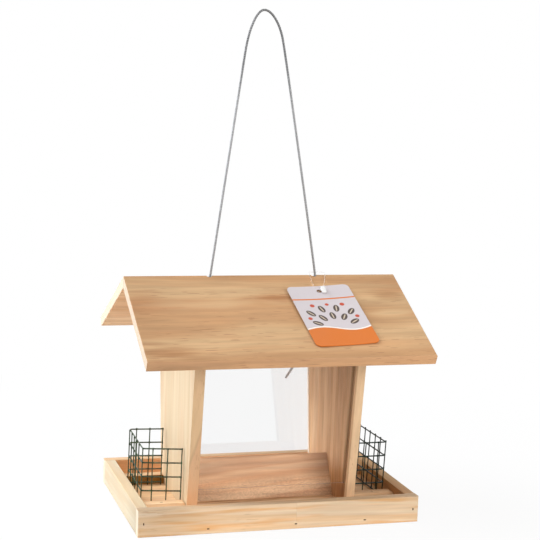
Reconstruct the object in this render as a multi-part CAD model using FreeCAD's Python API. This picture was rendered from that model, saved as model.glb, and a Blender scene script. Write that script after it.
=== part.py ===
"""Hanging hopper bird feeder: a pine tray with a clear-sided seed hopper, two wire mesh food baskets,
a pitched roof that lifts up a steel hanging wire, and a card tag. Millimetres, +Z up.
The origin is on the surface that the tray stands on, under the middle of the tray.
X runs along the ridge, and the front is towards -Y."""

import FreeCAD
import Part
import math
import os
from FreeCAD import Vector

# Tray
tray_length = 255.0
tray_depth = 174.0
rail_height = 23.5
rail_thickness = 10.0
floor_thickness = 9.0
edge_ease = 0.8

# Hopper
side_board_thickness = 9.5
side_board_foot_width = 107.0
side_board_lean = 8.0
pane_thickness = 2.0
pane_setback = 4.0
pane_feed_gap = 20.0
pane_top_gap = 1.5
groove_depth = 4.0
divider_base = 43.0
divider_height = 36.5
divider_ridge_radius = 2.0

# Roof
roof_length = 256.0
roof_pitch = 26.0
roof_slope_length = 126.0
roof_thickness = 9.5
ridge_height = 212.0

# Mesh baskets: a flat strip of welded mesh bent twice into a U
mesh_cell = 12.7
mesh_wire_diameter = 1.3
mesh_wire_sides = 6
mesh_rows = 5
mesh_side_cells = 5
mesh_end_cells = 2
mesh_bend_radius = 2.2
mesh_weld_offset = 0.95
mesh_end_stub = 2.5
mesh_top_stub = 1.1
mesh_foot = 3.4
basket_rail_gap = 4.0

# Cleats that the baskets stand between
cleat_depth = 10.0
cleat_height = 8.5
cleat_round = 2.0

# Hanging wire, hanger bar and crimped ferrules
wire_diameter = 2.2
wire_sides = 8
wire_inset = 18.85
roof_hole_gap = 1.4
bar_width = 16.0
bar_height = 12.0
bar_drop = 12.0
bar_hole_gap = 0.6
ferrule_wall = 1.35
ferrule_sides = 6
ferrule_length = 9.0
wire_stub = 6.0
loop_height = 247.5
loop_lean = -5.0
hook_radius = 7.0
shoulder_drop = 35.0
shoulder_reach = 15.5
tail_points = [(-3.5, 22.0), (-12.0, 39.0), (-23.5, 53.5)]

# Brads, cut from flat wire, with T-shaped heads
brad_width = 1.25
brad_thickness = 1.0
brad_head_width = 2.0
brad_head_height = 0.8
brad_tip_cover = 2.5
tray_brad_bite = 14.0
upright_brad_bite = 16.0
bar_brad_bite = 14.5
ridge_brad_bite = 6.8
floor_brad_places = [-66.0, 13.0, 77.0]
cleat_brad_inset = 19.0
side_brad_spread = 66.0
divider_brad_inset = 23.0
ridge_brad_inset = 24.0
ridge_brad_spread = 36.0
ridge_brad_drop = 5.0

# Card tag and its clear strap
tag_width = 59.5
tag_length = 86.5
tag_thickness = 0.6
tag_corner_radius = 5.0
tag_turn = 4.0
tag_hole_diameter = 5.0
tag_hole_inset = 7.5
tag_hole_down_slope = 30.3
tag_hole_side_step = -3.6
tag_tilt = 1.4
strap_diameter = 0.9
strap_sides = 6
strap_left_reach = 4.6
strap_right_reach = 10.3
strap_half_entry = 2.5
strap_slack = 0.9
strap_rise = 1.3
strap_lock_width = 4.2
strap_lock_length = 8.5
strap_lock_step = 3.8
strap_lock_height = 2.4
strap_lock_round = 0.8

# Clearances
joint_gap = 0.2
roof_seat_gap = 0.1
groove_gap = 0.2
brad_gap = 0.1
basket_gap = 0.3
wire_gap = 0.05
tag_gap = 0.3

# Places worked out from the sizes above
pitch = math.radians(roof_pitch)
lean = math.tan(math.radians(side_board_lean))
rail_inner_x = tray_length / 2 - rail_thickness
rail_inner_y = tray_depth / 2 - rail_thickness
floor_top = floor_thickness
mesh_radius = mesh_wire_diameter / 2
mesh_lead = (mesh_cell - mesh_bend_radius * math.pi / 2) / 2
basket_reach = mesh_end_stub + mesh_end_cells * mesh_cell + mesh_lead + mesh_bend_radius
basket_half_depth = mesh_side_cells * mesh_cell / 2 + mesh_lead + mesh_bend_radius
basket_outer_x = rail_inner_x - basket_rail_gap - mesh_radius
basket_inner_x = basket_outer_x - basket_reach
board_outer_x = basket_inner_x - basket_gap
board_inner_x = board_outer_x - side_board_thickness
divider_half = board_inner_x - joint_gap
board_mid_x = (board_outer_x + board_inner_x) / 2
roof_inner_ridge = ridge_height - roof_thickness / math.cos(pitch)
eave_y = roof_slope_length * math.cos(pitch)
eave_z = ridge_height - roof_slope_length * math.sin(pitch)
bar_top = roof_inner_ridge - bar_drop
bar_bottom = bar_top - bar_height
wire_x = board_inner_x - wire_inset
wire_radius = wire_diameter / 2
ferrule_top = bar_bottom - joint_gap
ferrule_bottom = ferrule_top - ferrule_length
strap_pivot_z = ridge_height + strap_rise
cleat_inner_y = basket_half_depth + mesh_weld_offset + mesh_radius + basket_gap
cleat_outer_y = cleat_inner_y + cleat_depth
cleat_mid_y = (cleat_inner_y + cleat_outer_y) / 2

X_AXIS = Vector(1, 0, 0)
Y_AXIS = Vector(0, 1, 0)
Z_AXIS = Vector(0, 0, 1)
FRONT = -1
BACK = 1
LEFT = -1
RIGHT = 1
ARC_SHARE = 0.45
parts = {}


def block(low, high):
    size = [b - a for a, b in zip(low, high)]
    return Part.makeBox(size[0], size[1], size[2], Vector(*low))


def mirrored(shape, normal):
    return shape.mirror(Vector(0, 0, 0), normal)


def prism_along_x(outline, x_low, x_high):
    corners = [Vector(x_low, y, z) for y, z in outline]
    face = Part.Face(Part.makePolygon(corners + corners[:1]))
    return face.extrude(Vector(x_high - x_low, 0, 0))


def edges_along(shape, direction):
    found = []
    for edge in shape.Edges:
        if isinstance(edge.Curve, (Part.Line, Part.LineSegment)):
            along = (edge.Vertexes[-1].Point - edge.Vertexes[0].Point).normalize()
            if abs(along.dot(direction)) > 0.999:
                found.append(edge)
    return found


def eased(shape, *directions):
    edges = [edge for direction in directions for edge in edges_along(shape, direction)]
    return shape.makeFillet(edge_ease, edges)


def rod(start, direction, radius, length):
    return Part.makeCylinder(radius, length, start, direction)


def brad(length, slack):
    """A brad along +Z with its head's face at the origin and its wide side along X, grown by slack."""
    head = brad_head_width / 2 + slack
    shank = brad_width / 2 + slack
    shoulder = brad_head_height + slack
    tip = length + slack
    outline = [(-head, 0), (head, 0), (head, shoulder), (shank, shoulder), (shank, tip), (-shank, tip),
               (-shank, shoulder), (-head, shoulder)]
    half = brad_thickness / 2 + slack
    corners = [Vector(x, -half, z) for x, z in outline]
    return Part.Face(Part.makePolygon(corners + corners[:1])).extrude(Vector(0, 2 * half, 0))


def drive_brads(node, places, through):
    """Brads at (head, direction, wide side, length) places, as one node, and their holes in the pieces."""
    driven = []
    for head, direction, wide, length in places:
        turn = FreeCAD.Rotation(wide, direction.cross(wide), direction, "ZXY")
        placement = FreeCAD.Placement(head, turn)
        driven.append(brad(length, 0).transformed(placement.Matrix))
        hole = brad(length, brad_gap).transformed(placement.Matrix)
        for piece in through:
            if parts[piece].BoundBox.intersect(hole.BoundBox):
                parts[piece] = parts[piece].cut(hole)
    parts[node] = Part.makeCompound(driven)


def rounded_route(points, radii):
    """A wire of straight runs joined by tangent arcs. A radius of None is as large as the two runs allow."""
    edges = []
    last = points[0]
    for before, corner, after, radius in zip(points, points[1:], points[2:], radii):
        into = (corner - before).normalize()
        out = (after - corner).normalize()
        half_turn = into.getAngle(out) / 2
        if radius is None:
            shorter = min((corner - before).Length, (after - corner).Length)
            radius = ARC_SHARE * shorter / math.tan(half_turn)
        reach = radius * math.tan(half_turn)
        start = corner - into * reach
        end = corner + out * reach
        inward = (out - into).normalize()
        middle = corner + inward * (radius / math.cos(half_turn) - radius)
        edges.append(Part.LineSegment(last, start).toShape())
        edges.append(Part.Arc(start, middle, end).toShape())
        last = end
    edges.append(Part.LineSegment(last, points[-1]).toShape())
    return Part.Wire(edges)


def flat_sided_ring(centre, direction, facing, width, sides):
    """A regular polygon square to a direction, with one of its flats facing another."""
    across = direction.cross(facing)
    corner_radius = width / 2 / math.cos(math.pi / sides)
    corners = []
    for index in range(sides):
        angle = (index + 0.5) * 2 * math.pi / sides
        corners.append(centre + (facing * math.cos(angle) + across * math.sin(angle)) * corner_radius)
    return Part.makePolygon(corners + corners[:1])


def tube(route, ring):
    return Part.Solid(route.makePipeShell([ring], True, False))


def compare_volume(label, solid, ring, route):
    expected = Part.Face(ring).Area * route.Length
    ratio = round(solid.Volume / expected, 4)
    print(label, "length", round(route.Length, 1), "volume over section x length", ratio)


def make_tray():
    rail = block((-tray_length / 2, -tray_depth / 2, 0), (tray_length / 2, -rail_inner_y, rail_height))
    parts["front_rail"] = eased(rail, X_AXIS, Z_AXIS)
    parts["back_rail"] = mirrored(parts["front_rail"], Y_AXIS)
    end = block((-tray_length / 2, -rail_inner_y, 0), (-rail_inner_x, rail_inner_y, rail_height))
    parts["left_rail"] = eased(end, Y_AXIS)
    parts["right_rail"] = mirrored(parts["left_rail"], X_AXIS)
    parts["floor_board"] = block((-rail_inner_x, -rail_inner_y, 0), (rail_inner_x, rail_inner_y, floor_top))


def make_cleats():
    low = (board_outer_x + joint_gap, -cleat_outer_y, floor_top)
    high = (rail_inner_x - joint_gap, -cleat_inner_y, floor_top + cleat_height)
    cleat = block(low, high)
    middle_z = floor_top + cleat_height / 2
    rounds = [edge for edge in edges_along(cleat, Y_AXIS) if edge.Vertexes[0].Z > middle_z]
    cleat = cleat.makeFillet(cleat_round, rounds)
    parts["front_right_cleat"] = cleat
    parts["back_right_cleat"] = mirrored(cleat, Y_AXIS)
    parts["front_left_cleat"] = mirrored(cleat, X_AXIS)
    parts["back_left_cleat"] = mirrored(parts["back_right_cleat"], X_AXIS)


def edge_y(z):
    """Half width of a side board at height z."""
    return side_board_foot_width / 2 + (z - floor_top) * lean


def under_roof(y, gap):
    """Height of the roof's underside above y, less a gap measured square to the slope."""
    return roof_inner_ridge - abs(y) * math.tan(pitch) - gap / math.cos(pitch)


def meet_roof(offset, gap):
    """Where a line beside a side board's slanted edge, offset inwards along Y, meets the roof's underside."""
    foot = side_board_foot_width / 2 - offset
    rise = (under_roof(0, gap) - floor_top - foot * math.tan(pitch)) / (1 + lean * math.tan(pitch))
    return foot + rise * lean, floor_top + rise


def pane_outline(slack, foot_slack):
    """Section of a pane in the Y-Z plane on the back side, thickened by slack on each face."""
    square = math.cos(math.radians(side_board_lean))
    near = (pane_setback - slack) / square
    far = (pane_setback + pane_thickness + slack) / square
    foot_z = floor_top + pane_feed_gap - foot_slack
    top_near = meet_roof(near, pane_top_gap)
    top_far = meet_roof(far, pane_top_gap)
    top_z = min(top_near[1], top_far[1])
    return [(edge_y(foot_z) - near, foot_z), (edge_y(top_z) - near, top_z), (edge_y(top_z) - far, top_z),
            (edge_y(foot_z) - far, foot_z)]


def groove_outline():
    """A pane's section with room round it, carried on up past the top of the side board."""
    low_near, high_near, high_far, low_far = pane_outline(groove_gap, 0)
    step = (ridge_height - high_near[1]) * lean
    return [low_near, (high_near[0] + step, ridge_height), (high_far[0] + step, ridge_height), low_far]


def make_hopper():
    shoulder_y, shoulder_z = meet_roof(0, roof_seat_gap)
    foot_y = side_board_foot_width / 2
    outline = [(-foot_y, floor_top), (-shoulder_y, shoulder_z), (0, under_roof(0, roof_seat_gap)),
               (shoulder_y, shoulder_z), (foot_y, floor_top)]
    board = prism_along_x(outline, board_inner_x, board_outer_x)
    groove = prism_along_x(groove_outline(), board_inner_x, board_inner_x + groove_depth)
    board = board.cut(groove).cut(mirrored(groove, Y_AXIS))
    parts["right_side_board"] = board
    parts["left_side_board"] = mirrored(board, X_AXIS)

    pane_half = board_inner_x + groove_depth - groove_gap
    parts["back_pane"] = prism_along_x(pane_outline(0, 0), -pane_half, pane_half)
    parts["front_pane"] = mirrored(parts["back_pane"], Y_AXIS)

    outline = [(-divider_base / 2, floor_top), (0, floor_top + divider_height), (divider_base / 2, floor_top)]
    divider = prism_along_x(outline, -divider_half, divider_half)
    middle_z = floor_top + divider_height / 2
    ridge = [edge for edge in edges_along(divider, X_AXIS) if edge.Vertexes[0].Z > middle_z]
    parts["seed_divider"] = divider.makeFillet(divider_ridge_radius, ridge)

    bar = block((-divider_half, -bar_width / 2, bar_bottom), (divider_half, bar_width / 2, bar_top))
    for side in (LEFT, RIGHT):
        foot = Vector(side * wire_x, 0, bar_bottom)
        bar = bar.cut(rod(foot, Z_AXIS, wire_radius + bar_hole_gap, bar_height))
    parts["hanger_bar"] = bar


def make_roof():
    inner_eave = (eave_y - roof_thickness * math.sin(pitch), eave_z - roof_thickness * math.cos(pitch))
    outline = [(0, ridge_height), (-eave_y, eave_z), (-inner_eave[0], inner_eave[1]), (0, roof_inner_ridge)]
    board = prism_along_x(outline, -roof_length / 2, roof_length / 2)
    eave_edges = [edge for edge in edges_along(board, X_AXIS) if edge.Vertexes[0].Y < -eave_y / 2]
    slope = Vector(0, math.cos(pitch), math.sin(pitch))
    board = board.makeFillet(edge_ease, eave_edges + edges_along(board, slope))
    for side in (LEFT, RIGHT):
        foot = Vector(side * wire_x, 0, eave_z)
        board = board.cut(rod(foot, Z_AXIS, wire_radius + roof_hole_gap, ridge_height - eave_z))
    parts["front_roof_board"] = board
    parts["back_roof_board"] = mirrored(board, Y_AXIS)


def make_tray_brads():
    places = []
    length = rail_thickness + tray_brad_bite
    for side in (FRONT, BACK):
        face_y = side * tray_depth / 2
        inward = Y_AXIS * -side
        for end in (LEFT, RIGHT):
            head = Vector(end * (tray_length - rail_thickness) / 2, face_y, rail_height / 2)
            places.append((head, inward, Z_AXIS, length))
        for x in floor_brad_places:
            places.append((Vector(x, face_y, floor_thickness / 2), inward, X_AXIS, length))
    drive_brads("tray_brads", places, ["front_rail", "back_rail", "left_rail", "right_rail", "floor_board"])


def make_cleat_brads():
    places = []
    length = cleat_height + floor_thickness - brad_tip_cover
    for side in (FRONT, BACK):
        for end in (LEFT, RIGHT):
            x = end * (rail_inner_x - cleat_brad_inset)
            head = Vector(x, side * cleat_mid_y, floor_top + cleat_height)
            places.append((head, -Z_AXIS, X_AXIS, length))
    cleats = [node for node in parts if node.endswith("_cleat")]
    drive_brads("cleat_brads", places, cleats + ["floor_board"])


def make_underside_brads():
    places = []
    length = floor_thickness + upright_brad_bite
    for end in (LEFT, RIGHT):
        for side in (FRONT, BACK):
            places.append((Vector(end * board_mid_x, side * side_brad_spread / 2, 0), Z_AXIS, Y_AXIS, length))
        places.append((Vector(end * (divider_half - divider_brad_inset), 0, 0), Z_AXIS, X_AXIS, length))
    uprights = ["floor_board", "left_side_board", "right_side_board", "seed_divider"]
    drive_brads("underside_brads", places, uprights)


def make_bar_brads():
    places = []
    for end in (LEFT, RIGHT):
        head = Vector(end * board_outer_x, 0, (bar_top + bar_bottom) / 2)
        places.append((head, X_AXIS * -end, Y_AXIS, side_board_thickness + bar_brad_bite))
    drive_brads("bar_brads", places, ["left_side_board", "right_side_board", "hanger_bar"])


def make_ridge_brads():
    """Brads driven level through the back slope into the front board, their heads just under the slope."""
    head_y = (ridge_brad_drop - brad_thickness / 2) / math.tan(pitch)
    head_z = ridge_height - ridge_brad_drop
    outer_x = roof_length / 2 - ridge_brad_inset
    rows = [-outer_x, -ridge_brad_spread / 2, ridge_brad_spread / 2, outer_x]
    places = [(Vector(x, head_y, head_z), -Y_AXIS, X_AXIS, head_y + ridge_brad_bite) for x in rows]
    drive_brads("ridge_brads", places, ["front_roof_board", "back_roof_board"])
    half_width = brad_head_width / 2 + brad_gap
    half_height = brad_thickness / 2 + brad_gap
    for x in rows:
        low = (x - half_width, head_y, head_z - half_height)
        high = (x + half_width, eave_y, head_z + half_height)
        way_in = block(low, high)
        parts["back_roof_board"] = parts["back_roof_board"].cut(way_in)


def level_mesh_wire(z):
    """A wire along the strip, bent twice, with its flats square to the panels that it runs through."""
    corners = [(basket_inner_x, -basket_half_depth), (basket_outer_x, -basket_half_depth),
               (basket_outer_x, basket_half_depth), (basket_inner_x, basket_half_depth)]
    route = rounded_route([Vector(x, y, z) for x, y in corners], [mesh_bend_radius] * 2)
    first = Vector(*corners[0], z)
    return tube(route, flat_sided_ring(first, X_AXIS, -Y_AXIS, mesh_wire_diameter, mesh_wire_sides))


def upright_mesh_wire(x, y, facing):
    foot = Vector(x, y, floor_top)
    height = mesh_foot + (mesh_rows - 1) * mesh_cell + mesh_top_stub
    ring = flat_sided_ring(foot, Z_AXIS, facing, mesh_wire_diameter, mesh_wire_sides)
    return Part.Face(ring).extrude(Z_AXIS * height)


def make_baskets():
    """One strip of welded mesh, bent into a U that is open towards the side board, and its mirror image."""
    wires = [level_mesh_wire(floor_top + mesh_foot + row * mesh_cell) for row in range(mesh_rows)]
    for index in range(mesh_side_cells + 1):
        y = (index - mesh_side_cells / 2) * mesh_cell
        wires.append(upright_mesh_wire(basket_outer_x + mesh_weld_offset, y, X_AXIS))
    for index in range(mesh_end_cells + 1):
        x = basket_inner_x + mesh_end_stub + index * mesh_cell
        for side in (FRONT, BACK):
            wires.append(upright_mesh_wire(x, side * (basket_half_depth + mesh_weld_offset), Y_AXIS))
    parts["right_basket"] = wires[0].multiFuse(wires[1:])
    parts["left_basket"] = mirrored(parts["right_basket"], X_AXIS)


def make_wire():
    """One length of steel wire: a stop under the bar at each end, up through the roof and over the hook."""
    apex = Vector(loop_lean, 0, ridge_height + loop_height)
    low_end = ferrule_bottom - wire_stub
    points = [Vector(-wire_x, 0, low_end), Vector(-wire_x, 0, ridge_height),
              apex + Vector(-shoulder_reach, 0, -shoulder_drop), apex,
              apex + Vector(shoulder_reach, 0, -shoulder_drop), Vector(wire_x, 0, ridge_height),
              Vector(wire_x, 0, low_end)]
    points += [Vector(wire_x + x, 0, ferrule_bottom - drop) for x, drop in tail_points]
    radii = [hook_radius if point == apex else None for point in points[1:-1]]
    route = rounded_route(points, radii)
    ring = flat_sided_ring(points[0], Z_AXIS, Y_AXIS, wire_diameter, wire_sides)
    parts["hanging_wire"] = tube(route, ring)
    compare_volume("hanging wire", parts["hanging_wire"], ring, route)

    bore = wire_diameter + 2 * wire_gap
    ferrules = []
    for side in (LEFT, RIGHT):
        foot = Vector(side * wire_x, 0, ferrule_bottom)
        crimp = flat_sided_ring(foot, Z_AXIS, Y_AXIS, bore + 2 * ferrule_wall, ferrule_sides)
        hole = flat_sided_ring(foot, Z_AXIS, Y_AXIS, bore, wire_sides)
        sleeve = Part.Face(crimp).cut(Part.Face(hole)).Faces[0]
        ferrules.append(sleeve.extrude(Z_AXIS * ferrule_length))
    parts["wire_ferrules"] = Part.makeCompound(ferrules)


def on_front_slope(x, down, rise):
    """A point at x, down the front slope from the ridge, and risen square to the slope."""
    y = -down * math.cos(pitch) - rise * math.sin(pitch)
    z = ridge_height - down * math.sin(pitch) + rise * math.cos(pitch)
    return Vector(x, y, z)


def make_tag():
    """A card that lies on the front slope with its top edge lifted a little by the strap under it."""
    hole_x = wire_x + tag_hole_side_step
    top_edge = tag_hole_inset
    card = block((-tag_width / 2, top_edge - tag_length, 0), (tag_width / 2, top_edge, tag_thickness))
    card = card.makeFillet(tag_corner_radius, edges_along(card, Z_AXIS))
    card = card.cut(rod(Vector(0, 0, 0), Z_AXIS, tag_hole_diameter / 2, tag_thickness))
    turn = math.radians(tag_turn)
    lowest = (tag_length - tag_hole_inset) * math.cos(turn) + tag_width / 2 * math.sin(turn)
    lift = tag_gap + lowest * math.sin(math.radians(tag_tilt))
    card.rotate(Vector(0, 0, 0), Z_AXIS, tag_turn)
    card.rotate(Vector(0, 0, 0), X_AXIS, roof_pitch + tag_tilt)
    card.translate(on_front_slope(hole_x, tag_hole_down_slope, lift))
    parts["swing_tag"] = card

    def round_wire(reach, down):
        y = -down * math.cos(pitch)
        return Vector(wire_x + reach, y, strap_pivot_z - down * math.sin(pitch))

    strap_low = strap_diameter / 2 + tag_gap
    strap_high = lift + tag_thickness + strap_lock_height / 2 + tag_gap
    behind = wire_radius + strap_diameter / 2 + strap_slack
    edge_down_slope = tag_hole_down_slope - tag_hole_inset
    lock_x = hole_x + strap_lock_step
    points = [on_front_slope(lock_x, tag_hole_down_slope, strap_high),
              on_front_slope(lock_x + strap_half_entry, edge_down_slope, strap_high),
              round_wire(strap_right_reach, behind),
              round_wire(strap_right_reach, -behind),
              round_wire(-strap_left_reach, -behind),
              round_wire(-strap_left_reach, behind),
              on_front_slope(hole_x - strap_half_entry, edge_down_slope, strap_low),
              on_front_slope(hole_x, tag_hole_down_slope, strap_low),
              on_front_slope(hole_x, tag_hole_down_slope, strap_high),
              on_front_slope(lock_x - strap_diameter, tag_hole_down_slope, strap_high)]
    route = rounded_route(points, [None] * 6 + [strap_diameter] * 2)
    leaving = (points[1] - points[0]).normalize()
    square_off = leaving.cross(X_AXIS).normalize()
    ring = flat_sided_ring(points[0], leaving, square_off, strap_diameter, strap_sides)
    strap = tube(route, ring)
    compare_volume("tag strap", strap, ring, route)
    half = Vector(strap_lock_width, strap_lock_length, strap_lock_height) / 2
    lock = block(-half, half)
    lock = lock.makeFillet(strap_lock_round, edges_along(lock, Z_AXIS))
    lock.rotate(Vector(0, 0, 0), X_AXIS, roof_pitch)
    lock.translate(points[0])
    parts["tag_strap"] = strap.fuse(lock)


make_tray()
make_cleats()
make_hopper()
make_roof()
make_tray_brads()
make_cleat_brads()
make_underside_brads()
make_bar_brads()
make_ridge_brads()
make_baskets()
make_wire()
make_tag()

os.makedirs("parts", exist_ok=True)
for name, shape in parts.items():
    shape.exportStep("parts/" + name + ".step")
    print(name, "solids", len(shape.Solids), "volume", round(shape.Volume, 1), "valid", shape.isValid())
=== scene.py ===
import math

import bpy
import numpy as np
from mathutils import Matrix, Vector


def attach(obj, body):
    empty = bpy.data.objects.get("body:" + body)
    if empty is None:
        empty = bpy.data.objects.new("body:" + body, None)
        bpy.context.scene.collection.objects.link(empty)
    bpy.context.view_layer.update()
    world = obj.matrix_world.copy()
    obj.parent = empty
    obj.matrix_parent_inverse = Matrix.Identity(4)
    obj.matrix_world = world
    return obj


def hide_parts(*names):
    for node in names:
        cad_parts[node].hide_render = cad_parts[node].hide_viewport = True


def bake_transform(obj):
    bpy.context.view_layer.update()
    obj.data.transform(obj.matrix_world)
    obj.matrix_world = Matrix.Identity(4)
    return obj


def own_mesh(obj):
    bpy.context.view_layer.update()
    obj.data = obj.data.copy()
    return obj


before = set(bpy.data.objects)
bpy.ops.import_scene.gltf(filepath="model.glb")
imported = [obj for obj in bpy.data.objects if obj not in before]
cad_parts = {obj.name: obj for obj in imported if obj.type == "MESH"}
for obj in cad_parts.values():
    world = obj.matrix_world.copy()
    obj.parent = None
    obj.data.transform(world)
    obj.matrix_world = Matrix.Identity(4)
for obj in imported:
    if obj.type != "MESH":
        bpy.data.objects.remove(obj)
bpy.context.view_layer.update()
scene = bpy.context.scene
scene.view_settings.view_transform = "Standard"
fullTurn = 2 * math.pi
perMetre = 1000  # millimetres
noFans = np.empty((0, 3), dtype=int)
print("frame loaded,", len(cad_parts), "nodes")

# camera at the photograph's angle

cameraSpec = dict(
    focalPixels=1433.84,  # focal length in pixels of the square frame
    framePixels=540, sensor=36.0,
    azimuth=-16.488,  # degrees round the object, from its front
    elevation=7.585, roll=1.889, place=(-0.3605, -1.2430, 0.3894),
)

def turnAbout(axis, degrees):
    return np.array(Matrix.Rotation(math.radians(degrees), 3, axis))

def makeCamera(spec):
    # rolled while it looks straight down, then tipped up to its elevation and turned to its azimuth
    tipped = turnAbout("X", 90 - spec["elevation"]) @ turnAbout("Z", spec["roll"])
    turned = Matrix((turnAbout("Z", spec["azimuth"]) @ tipped).tolist())
    data = bpy.data.cameras.new("camera")
    data.sensor_width = spec["sensor"]
    data.lens = spec["focalPixels"] / spec["framePixels"] * spec["sensor"]
    camera = bpy.data.objects.new("camera", data)
    camera.matrix_world = Matrix.Translation(spec["place"]) @ turned.to_4x4()
    scene.collection.objects.link(camera)
    scene.camera = camera

makeCamera(cameraSpec)
print("camera set")

# surfaces worked out on grids: a shape is its points, its quads and its fans of triangles

def roundAngles(count):
    return np.linspace(0, fullTurn, count, endpoint=False)

def ringFaces(rows, columns, closeRows=False):
    # quads between neighbours of a grid that is closed round its columns, and round its rows if asked
    row = np.arange(rows if closeRows else rows - 1)[:, None]
    column = np.arange(columns)[None, :]
    nextRow = (row + 1) % rows
    nextColumn = (column + 1) % columns
    corners = (row * columns + column, row * columns + nextColumn,
               nextRow * columns + nextColumn, nextRow * columns + column)
    return np.stack(np.broadcast_arrays(*corners), axis=-1).reshape(-1, 4)

def capFaces(start, columns, pole):
    # a fan of triangles from a ring that starts at an index to its pole
    column = np.arange(columns)
    return np.stack((start + column, start + (column + 1) % columns, np.full(columns, pole)), axis=-1)

def closedTube(rings):
    # rings of points joined by quads, with a pole in the middle of each end ring
    rows, columns = rings.shape[:2]
    count = rows * columns
    points = np.concatenate((rings.reshape(-1, 3), [rings[0].mean(axis=0)], [rings[-1].mean(axis=0)]))
    fans = np.concatenate((capFaces(0, columns, count)[:, ::-1],
                           capFaces(count - columns, columns, count + 1)))
    return points, ringFaces(rows, columns), fans

def joinShapes(shapes):
    # one list of points and faces from several, each face's numbers moved past the points before it
    starts = np.cumsum([0] + [len(shape[0]) for shape in shapes[:-1]])
    points = np.concatenate([shape[0] for shape in shapes])
    quads = np.concatenate([shape[1] + start for shape, start in zip(shapes, starts)])
    fans = np.concatenate([shape[2] + start for shape, start in zip(shapes, starts)])
    return points, quads, fans

def outward(shape):
    # faces turned to point out: the sum of each face's corner times its area vector has to be positive
    points, quads, fans = shape
    a, b, c, d = (points[quads[:, corner]] for corner in range(4))
    if (a * np.cross(c - a, d - b)).sum() < 0:
        return points, quads[:, ::-1], fans[:, ::-1]
    return shape

def putMesh(name, shape):
    points, quads, fans = shape
    mesh = bpy.data.meshes.new(name)
    mesh.from_pydata(points.tolist(), [], quads.tolist() + fans.tolist())
    mesh.shade_smooth()
    piece = bpy.data.objects.new(name, mesh)
    scene.collection.objects.link(piece)
    return piece

def sweep(path, radius, side, columns, twist=0.0):
    # point = path + radius (cos angle normal + sin angle binormal), the normal square to path and side
    tangent = np.gradient(path, axis=0)
    tangent /= np.linalg.norm(tangent, axis=1, keepdims=True)
    normal = np.cross(tangent, side)
    normal /= np.linalg.norm(normal, axis=1, keepdims=True)
    binormal = np.cross(tangent, normal)
    angle = (roundAngles(columns) + np.reshape(twist, (-1, 1)))[..., None]
    around = np.cos(angle) * normal[:, None, :] + np.sin(angle) * binormal[:, None, :]
    return path[:, None, :] + np.asarray(radius)[..., None] * around

def alongPath(path):
    # distance from the start at each point
    steps = np.linalg.norm(np.diff(path, axis=0), axis=1)
    return np.concatenate(([0.0], np.cumsum(steps)))

def spaced(path, step):
    # the same line with points at even steps
    along = alongPath(path)
    even = np.linspace(0, along[-1], max(2, int(round(along[-1] / step)) + 1))
    return np.stack([np.interp(even, along, path[:, axis]) for axis in range(3)], axis=-1)

def splineLine(name, route, resolution):
    # points read from a smooth spline that has the route as its control points
    curve = bpy.data.curves.new(name, "CURVE")
    curve.dimensions = "3D"
    curve.resolution_u = resolution
    spline = curve.splines.new("NURBS")
    spline.points.add(len(route) - 1)
    spline.points.foreach_set("co", np.c_[np.array(route), np.ones(len(route))].ravel())
    spline.order_u = 3
    spline.use_endpoint_u = True
    holder = bpy.data.objects.new(name, curve)
    line = bpy.data.meshes.new_from_object(holder)
    points = np.empty(len(line.vertices) * 3)
    line.vertices.foreach_get("co", points)
    bpy.data.meshes.remove(line)
    bpy.data.objects.remove(holder)
    bpy.data.curves.remove(curve)
    return points.reshape(-1, 3)

# hanging wire: a six-strand steel rope, up out of the ridge, over the hook point and back

hangingWire = dict(
    diameter=0.0022, strands=6,
    lay=0.014,  # length of one turn of the strands
    stepsPerTurn=14, columnsPerStrand=5,
    resolution=64,  # of the spline, between control points
    loopTop=0.45, ridge=0.212, holeX=0.04948,
    loopRoute=(
        (-0.04948, 0, 0.1988), (-0.0492, 0, 0.208), (-0.0479, 0, 0.2167), (-0.0245, 0, 0.3944),
        (-0.02, 0, 0.4286), (-0.0105, 0, 0.45), (-0.0005, 0, 0.45), (0.0092, 0, 0.4365),
        (0.0143, 0, 0.417), (0.0501, 0, 0.2175), (0.051, 0, 0.209), (0.04948, 0, 0.1988),
    ),
    tailRoute=(
        (0.04948, 0, 0.171), (0.04948, 0, 0.16223), (0.044, 0, 0.14623),
        (0.0348, 0, 0.13), (0.0258, 0, 0.116),
    ),
    leftEnd=0.16223,  # the left leg's cut end, under its ferrule
    rightEnd=0.17,  # the right leg goes on as the tail inside its ferrule
    legTop=0.206, legStep=0.00016,
    barSide=0.178,  # below this the legs stay with the bar
    roofSide=0.2,  # above this they go up with the roof
    lift=0.1,
)

def ropeSection(wire):
    # outline of touching round strands: r = d cos a + root(q^2 - d^2 sin^2 a), a from the strand's middle
    count = wire["strands"]
    half = math.pi / count
    fromMiddle = (roundAngles(count * wire["columnsPerStrand"]) + half) % (2 * half) - half
    outer = wire["diameter"] / 2
    strand = outer * math.sin(half) / (1 + math.sin(half))
    reach = outer - strand
    under = np.clip(strand ** 2 - (reach * np.sin(fromMiddle)) ** 2, 0, None)
    return reach * np.cos(fromMiddle) + np.sqrt(under)

def ropeAlong(path, twist, wire):
    # the section carried along a path and turned by the twist, and its depth as a groove from 0 to 1
    section = ropeSection(wire)
    rings = sweep(path, section[None, :], (0, 1, 0), len(section), twist)
    depth = (section.max() - section) / (section.max() - section.min())
    groove = np.concatenate((np.tile(depth, len(path)), (0, 0)))
    return outward(closedTube(rings)), groove

def putRope(name, ropes):
    shapes, grooves = zip(*ropes)
    piece = putMesh(name, joinShapes(shapes))
    layer = piece.data.attributes.new("groove", "FLOAT", "POINT")
    layer.data.foreach_set("value", np.concatenate(grooves).astype(np.float32))
    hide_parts("hanging_wire")
    return piece

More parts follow.
